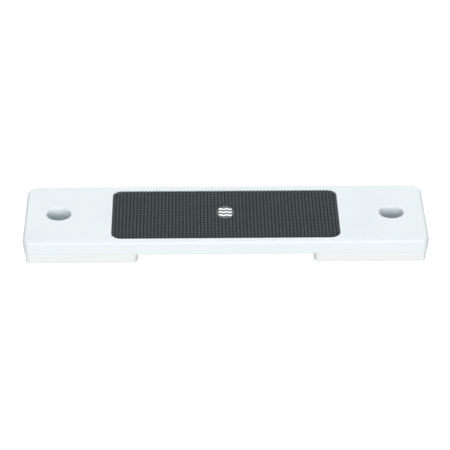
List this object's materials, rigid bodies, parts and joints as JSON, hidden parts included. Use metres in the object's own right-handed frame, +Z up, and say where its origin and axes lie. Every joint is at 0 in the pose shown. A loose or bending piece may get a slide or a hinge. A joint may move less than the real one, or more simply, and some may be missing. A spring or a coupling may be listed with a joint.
{
  "type": "pool step board",
  "caption": "Flat white moulded step board with a recessed black studded mat, a vertical bolt hole near each end and a spacer block under each end.",
  "frame": {"origin": "middle of the footprint, on the surface that the end blocks stand on", "axes": "+X along the board to the right, +Y away from the user towards the back edge, +Z up out of the mat"},
  "size_m": [0.5, 0.138, 0.0325],
  "materials": {
    "white_abs": "satin moulded",
    "block_abs": "fine moulded",
    "mat_rubber": "matt studded",
    "badge_plate": "satin",
    "badge_wave": "satin",
    "adhesive_film": "matt",
    "stainless": "brushed"
  },
  "bodies": {
    "root": {"tread_board": "white_abs", "mat_adhesive_film": "adhesive_film", "non_slip_mat": "mat_rubber", "centre_badge": "badge_plate", "badge_wave_front": "badge_wave", "badge_wave_middle": "badge_wave", "badge_wave_back": "badge_wave", "stiffener_tube_front": "stainless", "stiffener_tube_back": "stainless", "end_block_left": "block_abs", "bolt_sleeve_left": "stainless", "block_screw_left_1": "stainless", "block_screw_left_2": "stainless", "block_screw_left_3": "stainless", "block_screw_left_4": "stainless", "end_block_right": "block_abs", "bolt_sleeve_right": "stainless", "block_screw_right_1": "stainless", "block_screw_right_2": "stainless", "block_screw_right_3": "stainless", "block_screw_right_4": "stainless"}
  },
  "joints": []
}
